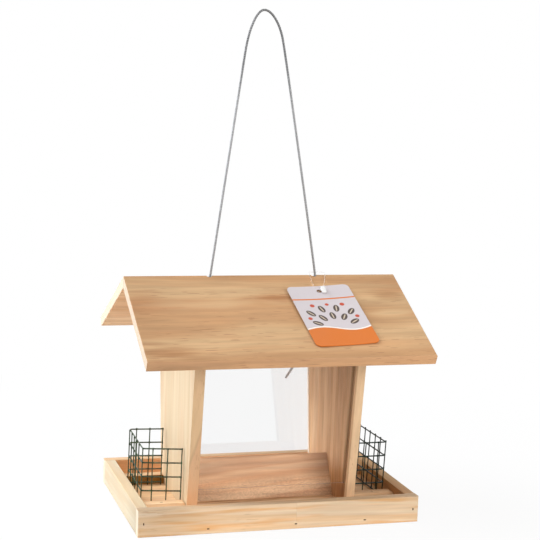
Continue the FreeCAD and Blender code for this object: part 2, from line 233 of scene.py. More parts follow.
def makeRope(name, route, wire):
    # the strands turn once in each lay
    path = spaced(splineLine(name, route, wire["resolution"]), wire["lay"] / wire["stepsPerTurn"])
    twist = alongPath(path) / wire["lay"] * fullTurn
    return putRope(name, [ropeAlong(path, twist, wire)]), path

def makeLegs(wire):
    # wound tighter where the lift draws a leg out, by 6 s (1 - s), the slope of the step that draws it
    ropes = []
    gap = wire["roofSide"] - wire["barSide"]
    for x, low in ((-wire["holeX"], wire["leftEnd"]), (wire["holeX"], wire["rightEnd"])):
        z = np.arange(low, wire["legTop"], wire["legStep"])
        share = np.clip((z - wire["barSide"]) / gap, 0, 1)
        drawn = 1 + wire["lift"] / gap * 6 * share * (1 - share)
        twist = np.cumsum(drawn) * wire["legStep"] / wire["lay"] * fullTurn
        path = np.stack((np.full_like(z, x), np.zeros_like(z), z), axis=-1)
        ropes.append(ropeAlong(path, twist, wire))
    piece = putRope("wire_legs", ropes)
    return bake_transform(piece)

wireLoop, loopPath = makeRope("wire_loop", hangingWire["loopRoute"], hangingWire)
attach(wireLoop, "base")
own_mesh(wireLoop)
wireTail, tailPath = makeRope("wire_tail", hangingWire["tailRoute"], hangingWire)
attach(wireTail, "base")
wireLegs = makeLegs(hangingWire)
print("wire: loop", round(alongPath(loopPath)[-1], 4), "tail", round(alongPath(tailPath)[-1], 4))

# baskets of welded mesh, coated after welding: each one strip, bent by hand into a U

basket = dict(
    wire=0.00063,  # radius with its coat
    uprightWire=0.00053, bend=0.0022, cell=0.0127, rows=5,
    weldOffset=0.00095,  # from a level wire's middle to an upright's
    foot=0.009, topStub=0.0011,
    weldSwell=0.24,  # how much thicker the coat is at a weld
    weldWidth=0.0009, step=0.0012,
    endRings=(0.12, 5),  # where a round end's rings start, as an angle, and how many it has
    endRun=1.5,  # radii from a wire's end to its first even step
    columns=10,
    uprightSide=(0.6, 0.8, 0),  # level direction that an upright's section is set out from
    linePoints=3001,
    strayTop=0.0003,  # how far an upright's top may stray
    seed=11,
)
basketShapes = dict(
    left_basket=dict(
        start=(-0.0785, -0.0387),  # the front panel's free end, at the top wire
        headings=(168.10, 88.62, -5.82),  # degrees, along the front, end and back panels
        runs=(0.03370, 0.06640, 0.02930),  # straight runs between the bends
        uprights=(0.0007, 0.0136, 0.0264, 0.0352, 0.0493, 0.0619, 0.0746, 0.0873, 0.1000, 0.1106, 0.1230,
                  0.1354),  # distances along the strip
        side=-1, topLevel=0.0628,
        lean=0.020,  # sideways along X for each unit of height
    ),
    right_basket=dict(
        start=(0.0812, -0.0384), headings=(0.33, 91.72, 180.18),
        runs=(0.02945, 0.07213, 0.02730),
        uprights=(0.0007, 0.0118, 0.0245, 0.0331, 0.0458, 0.0585, 0.0712, 0.0839, 0.0966, 0.1094, 0.1221,
                  0.1346),
        side=1, topLevel=0.0614, lean=0.040,
    ),
)

def stripLine(shape, mesh):
    # heading turns evenly over each bend: the strip's line in plan is the running sum of its heading
    headings = np.radians(shape["headings"])
    arcs = mesh["bend"] * np.abs(np.diff(headings))
    runs = shape["runs"]
    turns = np.cumsum((0, runs[0], arcs[0], runs[1], arcs[1], runs[2]))
    along = np.linspace(0, turns[-1], mesh["linePoints"])
    heading = np.interp(along, turns, np.repeat(headings, 2))
    middle = (heading[1:] + heading[:-1]) / 2
    x = shape["start"][0] + np.concatenate(([0], np.cumsum(np.cos(middle)) * along[1]))
    y = shape["start"][1] + np.concatenate(([0], np.cumsum(np.sin(middle)) * along[1]))
    return along, x, y, heading

def wireStations(length, radius, mesh):
    # even steps, with closer ones at both ends where the coat rounds off
    first, count = mesh["endRings"]
    close = radius * (1 - np.cos(np.linspace(first, math.pi / 2, count)))
    run = radius * mesh["endRun"]
    return np.concatenate((close, np.arange(run, length - run, mesh["step"]), length - close[::-1]))

def coatRadius(stations, length, radius, marks, mesh):
    # round ends, times one bell-shaped swelling for each weld
    end = np.clip(np.minimum(stations, length - stations) / radius, 0, 1)
    bells = np.exp(-((stations[:, None] - marks[None, :]) / mesh["weldWidth"]) ** 2).sum(axis=1)
    return radius * np.sqrt(1 - (1 - end) ** 2) * (1 + mesh["weldSwell"] * bells)

def levelWire(z, shape, mesh):
    # the strip's line at one height, moved by the lean
    along, x, y, heading = stripLine(shape, mesh)
    stations = wireStations(along[-1], mesh["wire"], mesh)
    shift = shape["lean"] * (z - shape["topLevel"])
    path = np.stack((np.interp(stations, along, x) + shift, np.interp(stations, along, y),
                     np.full_like(stations, z)), axis=-1)
    radius = coatRadius(stations, along[-1], mesh["wire"], np.array(shape["uprights"]), mesh)
    return closedTube(sweep(path, radius[:, None], (0, 0, 1), mesh["columns"]))

def uprightWire(mark, levels, stray, shape, mesh):
    # a straight wire outside the strip's line at one mark, from the floor board up past the top level
    along, x, y, heading = stripLine(shape, mesh)
    turn = np.interp(mark, along, heading)
    outside = np.array((math.sin(turn), -math.cos(turn))) * shape["side"]
    length = shape["topLevel"] + mesh["topStub"] - mesh["foot"]
    stations = wireStations(length, mesh["uprightWire"], mesh)
    z = mesh["foot"] + stations
    strayed = stray * (stations / length)[:, None] * (math.cos(turn), math.sin(turn))
    off = mesh["weldOffset"] * outside + strayed
    lean = shape["lean"] * (z - shape["topLevel"])
    path = np.stack((np.interp(mark, along, x) + off[:, 0] + lean,
                     np.interp(mark, along, y) + off[:, 1], z), axis=-1)
    radius = coatRadius(stations, length, mesh["uprightWire"], levels - mesh["foot"], mesh)
    return closedTube(sweep(path, radius[:, None], mesh["uprightSide"], mesh["columns"]))

def makeBasket(name, shape, mesh):
    # level wires one cell apart below the top one, and an upright at each mark
    chance = np.random.default_rng(mesh["seed"] + shape["side"])
    levels = shape["topLevel"] - mesh["cell"] * np.arange(mesh["rows"])
    wires = [levelWire(z, shape, mesh) for z in levels]
    for mark in shape["uprights"]:
        wires.append(uprightWire(mark, levels, chance.uniform(-1, 1) * mesh["strayTop"], shape, mesh))
    piece = putMesh(name + "_mesh", outward(joinShapes([outward(wire) for wire in wires])))
    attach(piece, "base")
    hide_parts(name)
    return piece

baskets = [makeBasket(name, shape, basket) for name, shape in basketShapes.items()]
print("baskets:", [len(piece.data.polygons) for piece in baskets], "faces")

# card tag, its clear loop and the loop's lock

tag = dict(
    pitch=26.0,  # degrees, the roof's slope
    ridge=0.212, width=0.0595, length=0.0865, thickness=0.0006, corner=0.005,
    hole=0.0025,  # radius
    holeInset=0.0075,  # from the top edge
    turn=4.0,  # degrees, on the slope
    tilt=27.4,  # degrees, a little steeper than the roof
    place=(0.045878, 0.0303, 0.002276),  # along the ridge, down the slope, up from it
    curl=0.0009,  # how far the long edges lift
    cornerPoints=400, outlineStep=0.0001, outlinePoints=240, rings=14,
)
strap = dict(
    radius=0.00045, wireX=0.04948, pivotZ=0.2133,
    leftReach=0.0046,  # from the wire to each strand as it crosses the ridge
    rightReach=0.0103,
    behind=0.00245,  # from the wire's middle to the strand behind it
    lockX=0.049678,
    entry=0.0025,  # how far a strand moves aside on its way to the card's edge
    edgeDown=0.0228, low=0.00075, high=0.004376,
    resolution=24,  # of the spline, between control points
    step=0.0007,
    side=(0.43, 0.31, 0.85),  # a direction that the loop never follows
    columns=10, lockSize=(0.0042, 0.0085, 0.0024),
    lockSquare=0.32,  # 1 is a ball and 0 a sharp box
    lockRings=17, lockColumns=32,
    lockPole=1.55,  # latitude of the end rings
)

def onFrontSlope(x, down, rise):
    # a point at x, down the front slope from the ridge, and risen square to it
    pitch = math.radians(tag["pitch"])
    y = -down * math.cos(pitch) - rise * math.sin(pitch)
    return np.array((x, y, tag["ridge"] - down * math.sin(pitch) + rise * math.cos(pitch)))

def cardOutline(card):
    # quarter circles at the corners of a smaller rectangle, then points at even steps round it
    angle = roundAngles(card["cornerPoints"]) + math.pi / card["cornerPoints"]
    halfWidth = card["width"] / 2 - card["corner"]
    halfLength = card["length"] / 2 - card["corner"]
    x = np.sign(np.cos(angle)) * halfWidth + card["corner"] * np.cos(angle)
    y = np.sign(np.sin(angle)) * halfLength + card["corner"] * np.sin(angle)
    y += card["holeInset"] - card["length"] / 2
    loop = np.stack((x, y, np.zeros_like(x)), axis=-1)
    even = spaced(np.concatenate((loop, loop[:1])), card["outlineStep"])
    picked = np.linspace(0, len(even) - 1, card["outlinePoints"], endpoint=False).astype(int)
    return even[picked]

def makeTag(card):
    # rays from the hole's rim to the outline, first over the face and then back over the underside
    outline = cardOutline(card)
    rim = card["hole"] * outline / np.linalg.norm(outline, axis=1, keepdims=True)
    share = np.linspace(0, 1, card["rings"])[:, None, None]
    sheet = rim[None] * (1 - share) + outline[None] * share
    sheet[..., 2] = card["curl"] * (sheet[..., 0] / (card["width"] / 2)) ** 2
    face = sheet + (0, 0, card["thickness"])
    flat = np.concatenate((face, sheet[::-1])).reshape(-1, 3)
    turned = flat @ (turnAbout("X", card["tilt"]) @ turnAbout("Z", card["turn"])).T
    points = turned + onFrontSlope(*card["place"])
    quads = ringFaces(2 * card["rings"], card["outlinePoints"], True)
    piece = putMesh("swing_tag_card", outward((points, quads, noFans)))
    rows = np.arange(len(quads)) // card["outlinePoints"]
    piece.data.polygons.foreach_set("material_index", (rows >= card["rings"] - 1).astype(np.int32))
    piece.data.shade_flat()
    spread = np.stack((flat[:, 0] / card["width"] + 0.5,
                       (flat[:, 1] + card["length"] - card["holeInset"]) / card["length"]), axis=-1)
    corners = np.empty(len(piece.data.loops), dtype=np.int32)
    piece.data.loops.foreach_get("vertex_index", corners)
    layer = piece.data.uv_layers.new(name="print")
    layer.data.foreach_set("uv", spread[corners].ravel())
    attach(piece, "tag")
    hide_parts("swing_tag")
    return piece

def strapRoute(card, loop):
    # out of the lock, round the wire, under the card and up through its hole to the lock
    pitch = math.radians(card["pitch"])
    holeX, holeDown = card["place"][:2]
    entry, behind = loop["entry"], loop["behind"]

    def roundWire(reach, down):
        return np.array((loop["wireX"] + reach, -down * math.cos(pitch),
                         loop["pivotZ"] - down * math.sin(pitch)))

    return (onFrontSlope(loop["lockX"], holeDown, loop["high"]),
            onFrontSlope(loop["lockX"] + entry, loop["edgeDown"], loop["high"]),
            roundWire(loop["rightReach"], behind), roundWire(loop["rightReach"], -behind),
            roundWire(-loop["leftReach"], -behind), roundWire(-loop["leftReach"], behind),
            onFrontSlope(holeX - entry, loop["edgeDown"], loop["low"]),
            onFrontSlope(holeX, holeDown, loop["low"]),
            onFrontSlope(holeX, holeDown, loop["high"]),
            onFrontSlope(loop["lockX"] - 2 * loop["radius"], holeDown, loop["high"]))

def putStrap(name, rings):
    piece = putMesh(name, outward(closedTube(rings)))
    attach(piece, "tag")
    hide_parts("tag_strap")
    return piece

def makeStrap(card, loop):
    # a circle carried along the smooth line of the route
    path = spaced(splineLine("tag_loop", strapRoute(card, loop), loop["resolution"]), loop["step"])
    return putStrap("tag_loop", sweep(path, loop["radius"], loop["side"], loop["columns"]))

def makeLock(card, loop):
    # a rounded block: each of a ball's cosines and sines raised to a small power, its sign kept
    def squared(value):
        return np.sign(value) * np.abs(value) ** loop["lockSquare"]

    latitude = np.linspace(-loop["lockPole"], loop["lockPole"], loop["lockRings"])[:, None]
    longitude = roundAngles(loop["lockColumns"])[None, :]
    x = squared(np.cos(latitude)) * squared(np.cos(longitude))
    y = squared(np.cos(latitude)) * squared(np.sin(longitude))
    z = squared(np.sin(latitude)) * np.ones_like(longitude)
    block = np.stack((x, y, z), axis=-1) * np.array(loop["lockSize"]) / 2
    place = onFrontSlope(loop["lockX"], card["place"][1], loop["high"])
    return putStrap("tag_lock", block @ turnAbout("X", card["pitch"]).T + place)

tagCard = makeTag(tag)
tagLoop = makeStrap(tag, strap)
tagLock = makeLock(tag, strap)
print("tag hung")

# materials: a node stands in the tree of the sockets that are linked to it

softRange = (0.3, 0.7)  # where most of a soft noise lies

def linear(tone):
    # screen values from 0 to 255 to linear light
    channel = np.array(tone) / 255
    light = np.where(channel <= 0.04045, channel / 12.92, ((channel + 0.055) / 1.055) ** 2.4)
    return (*light.tolist(), 1.0)

def setInputs(node, inputs):
    # each input is linked to a socket or given a value; a colour of three numbers is in screen values
    for key, value in inputs.items():
        socket = node.inputs[key]
        if isinstance(value, bpy.types.NodeSocket):
            node.id_data.links.new(value, socket)
        elif socket.type == "RGBA" and len(value) == 3:
            socket.default_value = linear(value)
        else:
            socket.default_value = value
    return node

def newNode(tree, kind, **settings):
    node = tree.nodes.new("ShaderNode" + kind)
    for key, value in settings.items():
        setattr(node, key, value)
    return node

def linked(kind, inputs, output=0, **settings):
    tree = next(value.id_data for value in inputs.values() if isinstance(value, bpy.types.NodeSocket))
    return setInputs(newNode(tree, kind, **settings), inputs).outputs[output]

def calc(operation, a, b=0.0, c=0.0):
    return linked("Math", {0: a, 1: b, 2: c}, operation=operation)

def plus(a, b):
    return calc("ADD", a, b)

def times(a, b):
    return calc("MULTIPLY", a, b)

def timesPlus(a, b, c):
    return calc("MULTIPLY_ADD", a, b, c)

def ranged(value, low, high, toLow=0.0, toHigh=1.0):
    # a smooth step from one value to another
    inputs = {"Value": value, "From Min": low, "From Max": high, "To Min": toLow, "To Max": toHigh}
    return linked("MapRange", inputs, "Result", interpolation_type="SMOOTHSTEP")

def mixed(share, a, b):
    return linked("Mix", {0: share, 6: a, 7: b}, 2, data_type="RGBA")

def vectorCalc(operation, a, b=(0, 0, 0)):
    output = "Value" if operation == "LENGTH" else "Vector"
    return linked("VectorMath", {0: a, 1: b}, output, operation=operation)

def scaledColour(colour, amount):
    return linked("VectorMath", {0: colour, "Scale": amount}, operation="SCALE")

def axes(vector):
    return linked("SeparateXYZ", {0: vector}).node.outputs

def coordinate(tree, kind):
    return newNode(tree, "TexCoord").outputs[kind]

def noise(place, size, seed, detail, output="Fac"):
    # soft noise with spots of one size, or of three along the axes
    scaled = linked("Mapping", {"Vector": place, "Scale": np.ones(3) / size})
    inputs = {"Vector": scaled, "W": seed, "Scale": 1.0, "Detail": detail}
    return linked("TexNoise", inputs, output, noise_dimensions="4D")

def objectNoise(tree, size, seed, detail):
    return noise(coordinate(tree, "Object"), size, seed, detail)

def bump(height, distance, strength):
    return linked("Bump", {"Height": height, "Distance": distance, "Strength": strength})

def painted(name, paint, *details):
    # a material whose shader gets the inputs that the paint function works out in its tree
    material = bpy.data.materials.new(name)
    material.use_nodes = True
    tree = material.node_tree
    setInputs(tree.nodes["Principled BSDF"], paint(tree, *details))
    return material

def dress(piece, *materials):
    piece.data.materials.clear()
    for material in materials:
        piece.data.materials.append(material)

# pine: growth rings round a pith that lies along the grain, in bands, with fibres, flecks, stains and
# knots, and painted light and shade on some boards
# places are in millimetres, turned so that the grain lies along X

grainTurn = dict(x=(0, 0, 0), y=(0, 0, -math.pi / 2), z=(0, math.pi / 2, 0))
pineLayers = dict(  # each layer of noise: its step from the board's seed, and its detail
    fibre=(20, 3.0), hair=(30, 2.0), stain=(40, 2.0), fleckField=(50, 1.0), fleck=(60, 0.0),
    torn=(70, 2.0), streak=(80, 2.0),
)
pineCommon = dict(
    grain="x",
    pitch=4.5,  # from ring to ring
    ring=((0.0, 0.0), (0.40, 0.10), (0.74, 0.62), (0.90, 1.0), (1.0, 0.0)),  # early to late wood
    lines=0.30,  # strength of the thin lines of late wood
    wander=1.6,  # how unevenly the rings follow one another
    wanderRings=3,
    band=9.0,  # from one broad band to the next
    bandRange=(0.36, 0.64), bands=0.8,
    sway=7.0,  # how far the grain wanders
    swaySize=(190, 55, 55), swayDetail=1.5, taper=0.03,
    stainSize=(75, 15, 15), stainRange=(0.46, 0.72), stains=0.5,
    fleckSize=(9, 0.6, 0.6), fleckRange=(0.68, 0.76), flecks=0.35,
    fleckFieldSize=(70, 30, 30), fleckFieldRange=(0.52, 0.66),
    streakSize=(55, 3.5, 3.5), streaks=0.45, tornSize=(1.6, 0.8, 0.8),
    fibreSize=(60, 1.1, 1.1), fibres=0.16, hairSize=(22, 0.45, 0.45), hairs=0.1, knots=(),
    patches=(),  # middle, length, width, tone, share
    patchFray=1.6,  # how far the streaks fray a patch's edge
    patchCore=0.1,
    early=(226, 190, 150), late=(206, 160, 116), lineTone=(186, 134, 92),
    stain=(198, 144, 102), fleckTone=(150, 104, 72), knotTone=(176, 118, 76),
    endTone=(218, 203, 180),  # sawn across the grain
    endRange=(0.5, 0.8), endShare=0.8,
    frontTone=(226, 190, 150),  # on faces that look to the front: on the side boards' edges, sawn through other rings; on the roof's eave, the back rail's inner face and the back left cleat's front face, painted shade
    frontRange=(-0.8, -0.6), frontShare=0.0,
    fades=(),  # axis, where it is full, where it ends, shade
    frontFades=(),  # the same, on faces that look to the front
    rims=(),  # slant, where it starts, where it is full, tone, share
    roughness=0.56, hairSheen=0.16, lateSheen=-0.1, specular=0.22,
    lateRise=0.5, relief=0.0001, bump=0.5,
)
pineBoards = dict(
    front_rail=dict(
        pith=(-70, -48), pitch=8.0, band=8.0, seed=1.3, lines=0.15, sway=4.0,
        early=(232, 208, 177), late=(224, 188, 146), stain=(220, 168, 112),
        stainSize=(80, 6, 6), stains=0.9, stainRange=(0.50, 0.70),
        joint=dict(at=13.2, shift=(6.0, 4.0), width=0.35, dark=0.10),
        # fades: darker towards the left end; painted light on the lower part, lighter against the shade
        # near the floor; painted shade on the top face
        fades=(("X", -125.0, -45.0, -0.28), ("Z", 2.0, 15.0, 0.17), ("Z", 23.6, 22.4, -0.11)),
    ),
    back_rail=dict(
        pith=(120, -30), pitch=5.0, seed=2.9, early=(238, 206, 166), late=(226, 188, 144),
        # painted shade: the front-facing inner face takes a deeper orange tone, its look in shade, while
        # the top keeps the paler tone
        frontTone=(241, 183, 134), frontShare=0.85,
    ),
    left_rail=dict(
        grain="y", pith=(150, -40), pitch=6.0, seed=4.1, lines=0.15, streaks=0.12,
        early=(206, 194, 168), late=(199, 181, 150), stain=(200, 175, 140),
        # fades: painted light on the top face, which is lighter; the outer face is darker towards its front
        # end
        fades=(("Z", 23.6, 22.4, 0.28), ("X", -87.0, -20.0, -0.17)),
    ),
    right_rail=dict(
        grain="y", pith=(-150, 50), pitch=5.0, seed=5.7, early=(216, 186, 142), late=(196, 154, 104),
    ),
    floor_board=dict(
        pith=(20, -80), pitch=5.0, seed=6.2, early=(252, 224, 184), late=(243, 205, 160),
        # fades: painted shade, darker towards the right end; patches: a painted shadow on the strip in
        # front of the seed divider
        fades=(("X", 120.0, 70.0, -0.19),),
        patches=(((0, -27, 9), 130.0, 11.0, (150, 98, 58), 0.75),),
    ),
    left_side_board=dict(
        grain="z", pith=(26, 130), pitch=4.0, band=7.0, seed=7.4, taper=0.01, sway=3.0, stains=0.25,
        lines=0.10, bands=0.5, fibres=0.10, hairs=0.05, streaks=0.2,
        early=(208, 188, 155), late=(196, 170, 133), frontTone=(212, 171, 127), frontShare=0.6,
        # fades: painted light, lighter towards the foot against the shade of the left rail and the basket
        fades=(("X", 15.0, 65.0, 0.27),),
        crossing=dict(rise=3.47, at=324.0, soft=7.0, dark=0.16, below=(206, 156, 120), share=0.45),
    ),
    right_side_board=dict(
        grain="z", pith=(-130, 20), pitch=4.2, band=13.0, seed=8.8, taper=0.01, sway=3.0,
        lines=0.2, bands=0.6, streaks=0.25, specular=0.04,
        early=(250, 212, 168), late=(232, 183, 135), frontTone=(220, 189, 152), frontShare=0.75,
        # fades: painted shade, darker low down by the divider; frontFades: painted light, the front edge
        # lighter towards the foot against the dim light near the tray
        fades=(("X", 12.0, 45.0, -0.05),), frontFades=(("X", 15.0, 75.0, 0.32),),
        # patches: painted shade on the lower front corner of the inner face
        patches=(((18, -38, -68), 46.0, 30.0, (160, 100, 60), 0.6),),
        inside=(-71.0, -70.0),  # where the inner face lies, for the rims along its edges
        # rims: a painted highlight, near white, along the back edge of the inner face, and a painted shadow
        # of the pane's groove along its front edge
        rims=((0.1405, 48.2, 49.2, (255, 240, 224), 0.85), (-0.1405, -40.0, -45.5, (132, 78, 42), 0.52)),
    ),
    seed_divider=dict(
        pith=(-60, -30), pitch=9.0, band=11.0, seed=9.5, taper=-0.1, streaks=0.8, lines=0.5,
        early=(212, 175, 140), late=(188, 145, 110), stain=(182, 134, 98),
        # fades: darker towards the left end and towards the ridge; painted shade at the right end by the
        # side board and along the foot
        fades=(("X", -68.0, -15.0, -0.16), ("X", 68.0, 30.0, -0.10), ("Z", 10.0, 19.0, -0.14),
               ("Z", 42.0, 30.0, -0.08)),
        rough=dict(top=30.0, foot=22.0, shade=0.8, relief=3.0),
    ),
    hanger_bar=dict(pith=(40, 120), seed=10.1),
    front_roof_board=dict(
        pith=(-30, 128), pitch=6.0, band=13.0, seed=11.6, lines=0.14, swaySize=(120, 45, 45),
        stainSize=(120, 20, 20), stains=0.8, streaks=0.55, streakSize=(60, 5, 5),
        flecks=0.6, fleckSize=(12, 0.9, 0.9), fleckFieldRange=(0.38, 0.54),
        early=(206, 170, 128), late=(187, 141, 99), stain=(183, 131, 90), knotTone=(166, 110, 70),
        # frontTone and frontFades: painted shade on the eave face, darker still towards the left end
        endTone=(206, 188, 165), frontTone=(206, 158, 115), frontShare=0.8,
        fades=(("X", -128.0, -45.0, -0.09),), frontFades=(("X", -128.0, 90.0, -0.18),),
        knots=(dict(at=(14, -36, 194.4), long=24.0, across=7.0, spread=2.5, push=-14.0, core=0.05,
                    dark=0.35),),
        patches=(((2, -35, 195), 24.0, 11.0, (166, 110, 68), 0.6),
                 ((-121, -33, 196), 30.0, 22.0, (182, 130, 88), 0.5),
                 ((-32, -79, 173), 66.0, 9.0, (214, 177, 133), 0.4),
                 ((-62, -42, 192), 76.0, 10.0, (228, 192, 148), 0.45),
                 ((111, -31, 197), 30.0, 10.0, (168, 120, 78), 0.6),
                 ((104, -56, 185), 36.0, 9.0, (232, 196, 150), 0.6),
                 ((80, -98, 164), 66.0, 16.0, (221, 171, 123), 0.6),
                 ((-105, -100, 163), 48.0, 15.0, (172, 123, 82), 0.75)),
    ),
    back_roof_board=dict(
        pith=(30, 110), pitch=6.0, seed=12.3, specular=0.06, early=(233, 198, 160), late=(218, 176, 135),
    ),
    front_left_cleat=dict(pith=(-90, -20), seed=13.7, early=(242, 211, 172), late=(230, 191, 147)),
    front_right_cleat=dict(pith=(-20, -40), seed=14.2, early=(234, 200, 158), late=(218, 176, 130)),
    back_left_cleat=dict(
        pith=(90, -20), seed=15.9, early=(236, 202, 158), late=(222, 182, 136),
        # painted shade: the front face takes a dark tone, its look in shade
        frontTone=(150, 102, 34), frontShare=0.94,
    ),
    back_right_cleat=dict(pith=(30, -50), seed=16.4),
)

def ramp(value, stops):
    # straight runs between grey stops of (place, grey)
    ramped = linked("ValToRGB", {"Fac": value}, "Color")
    elements = ramped.node.color_ramp.elements
    while len(elements) < len(stops):
        elements.new(0.5)
    for element, (place, grey) in zip(elements, stops):
        element.position = place
        element.color = (grey, grey, grey, 1)
    return ramped

def lineNoise(value, size):
    # soft noise along one number, its spots about size long
    inputs = {"W": calc("DIVIDE", value, size), "Scale": 1.0, "Detail": 1.0}
    return linked("TexNoise", inputs, "Fac", noise_dimensions="1D")

def centred(value, amount):
    # a value from 0 to 1 as a swing about 0 of this amount
    return times(calc("SUBTRACT", value, 0.5), amount)

def pineLayer(place, wood, name):
    step, detail = pineLayers[name]
    return noise(place, wood[name + "Size"], wood["seed"] + step, detail)

def awayFrom(place, middle, length, width):
    # distance from a middle, counted in lengths along the grain and widths across it
    away = vectorCalc("SUBTRACT", place, middle)
    return vectorCalc("LENGTH", vectorCalc("DIVIDE", away, (length, width, width)))

def faded(place, axis, full, end, shade):
    return ranged(place[axis], full, end, shade, 0.0)

def pineRings(laid, along, wood):
    # distance from the swaying pith, plus a taper along the grain and a bell-shaped bulge at each knot
    sway = noise(laid, wood["swaySize"], wood["seed"], wood["swayDetail"], "Color")
    sway = vectorCalc("SUBTRACT", sway, (0.5, 0.5, 0.5))
    sway = vectorCalc("MULTIPLY", sway, (0, 2 * wood["sway"], 2 * wood["sway"]))
    square = vectorCalc("MULTIPLY", laid, (0, 1, 1))
    square = vectorCalc("SUBTRACT", square, (0, *wood["pith"]))
    if "joint" in wood:
        joint = wood["joint"]
        past = ranged(along, joint["at"] - joint["width"] / 2, joint["at"] + joint["width"] / 2)
        square = vectorCalc("ADD", square, scaledColour((0, *joint["shift"]), past))
    reach = vectorCalc("LENGTH", vectorCalc("ADD", square, sway))
    reach = timesPlus(along, wood["taper"], reach)
    masks = []
    for knot in wood["knots"]:
        distance = awayFrom(laid, knot["at"], knot["long"], knot["across"])
        reach = plus(reach, ranged(distance, 0.0, knot["spread"], knot["push"], 0.0))
        masks.append(ranged(distance, knot["core"], 1.0, knot["dark"], 0.0))
    return reach, masks, vectorCalc("ADD", laid, sway)

def ringTone(laid, reach, wood):
    # ring = fraction of the reach over the pitch; bands, lines of late wood and stains, in that order
    band = ranged(lineNoise(reach, wood["band"]), *wood["bandRange"], 0.0, wood["bands"])
    wander = times(lineNoise(reach, wood["wanderRings"] * wood["pitch"]), wood["wander"])
    phase = plus(calc("DIVIDE", reach, wood["pitch"]), wander)
    late = ramp(calc("FRACT", phase), wood["ring"])
    stain = ranged(pineLayer(laid, wood, "stain"), *wood["stainRange"], 0.0, wood["stains"])
    colour = mixed(band, wood["early"], wood["late"])
    colour = mixed(times(late, wood["lines"]), colour, wood["lineTone"])
    return mixed(stain, colour, wood["stain"]), late

def crossed(place, front, colour, shade, ring):
    # a ring that crosses the front edge at a slant: a dark line, and another tone below it
    above = timesPlus(place["Z"], ring["rise"], place["X"])
    above = calc("SUBTRACT", above, ring["at"])
    under = ranged(above, -ring["soft"], ring["soft"] / 2, ring["share"], 0.0)
    line = ranged(calc("ABSOLUTE", above), 0.0, ring["soft"], -ring["dark"], 0.0)
    colour = mixed(times(front, under), colour, ring["below"])
    return colour, timesPlus(line, front, shade)

def pine(tree, wood):
    # tones laid on one another, times 1 + shade, and over that flecks, knots and sawn ends
    turned = {"Rotation": grainTurn[wood["grain"]]}
    scaled = {"Vector": coordinate(tree, "Object"), "Scale": (perMetre, perMetre, perMetre)}
    laid = linked("Mapping", {**scaled, **turned})
    place = axes(laid)
    normal = coordinate(tree, "Normal")
    reach, masks, swayed = pineRings(laid, place["X"], wood)
    colour, late = ringTone(laid, reach, wood)
    fibre = pineLayer(laid, wood, "fibre")
    hair = pineLayer(laid, wood, "hair")
    streak = pineLayer(swayed, wood, "streak")
    shade = plus(centred(fibre, wood["fibres"]), centred(hair, wood["hairs"]))
    shade = plus(shade, centred(streak, wood["streaks"]))
    # patches: wood figure on the roof; painted shade on the floor and the right side board
    for middle, length, width, tone, share in wood["patches"]:
        reached = plus(awayFrom(swayed, middle, length, width), centred(streak, wood["patchFray"]))
        colour = mixed(ranged(reached, wood["patchCore"], 1.0, share, 0.0), colour, tone)
    height = timesPlus(late, wood["lateRise"], fibre)
    if "rough" in wood:
        rough = wood["rough"]
        sawn = ranged(place["Z"], rough["foot"], rough["top"], 1.0, 0.0)
        torn = times(centred(pineLayer(laid, wood, "torn"), 1.0), sawn)
        shade = timesPlus(torn, rough["shade"], shade)
        height = timesPlus(torn, rough["relief"], height)
    # the front tone and front fades carry painted shade on the roof's eave, the back rail and the back left
    # cleat, and painted light on the right side board's edge
    front = ranged(axes(normal)["Y"], *wood["frontRange"], 1.0, 0.0)
    colour = mixed(times(front, wood["frontShare"]), colour, wood["frontTone"])
    for fade in wood["frontFades"]:
        shade = timesPlus(faded(place, *fade), front, shade)
    if "crossing" in wood:
        colour, shade = crossed(place, front, colour, shade, wood["crossing"])
    # rims: painted light along the edges of the right side board's inner face, a highlight at the back and
    # a groove's shadow at the front
    for slant, start, full, tone, share in wood["rims"]:
        slanted = timesPlus(place["X"], -slant, place["Y"])
        paintedRim = times(ranged(slanted, start, full, 0.0, share), ranged(place["Z"], *wood["inside"]))
        colour = mixed(paintedRim, colour, tone)
    # fades: many are painted light and shade, as given with each board
    for fade in wood["fades"]:
        shade = plus(shade, faded(place, *fade))
    if "joint" in wood:
        joint = wood["joint"]
        gap = calc("ABSOLUTE", calc("SUBTRACT", place["X"], joint["at"]))
        shade = calc("SUBTRACT", shade, ranged(gap, 0.0, joint["width"], joint["dark"], 0.0))
    colour = scaledColour(colour, plus(shade, 1.0))
    field = ranged(pineLayer(laid, wood, "fleckField"), *wood["fleckFieldRange"])
    fleck = ranged(pineLayer(laid, wood, "fleck"), *wood["fleckRange"], 0.0, wood["flecks"])
    colour = mixed(times(fleck, field), colour, wood["fleckTone"])
    for mask in masks:
        colour = mixed(mask, colour, wood["knotTone"])
    across = calc("ABSOLUTE", axes(linked("Mapping", {"Vector": normal, **turned}))["X"])
    ends = ranged(across, *wood["endRange"], 0.0, wood["endShare"])
    sheen = plus(centred(hair, wood["hairSheen"]), centred(late, wood["lateSheen"]))
    return {
        "Base Color": mixed(ends, colour, wood["endTone"]),
        "Roughness": plus(sheen, wood["roughness"]),
        "Specular IOR Level": wood["specular"],
        "Normal": bump(height, wood["relief"], wood["bump"]),
    }

for name, board in pineBoards.items():
    dress(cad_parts[name], painted("pine_" + name, pine, {**pineCommon, **board}))
print("pine:", len(pineBoards), "boards")

# clear sheet, coated mesh, steel and nylon; a noise is its size in metres, its seed and its detail

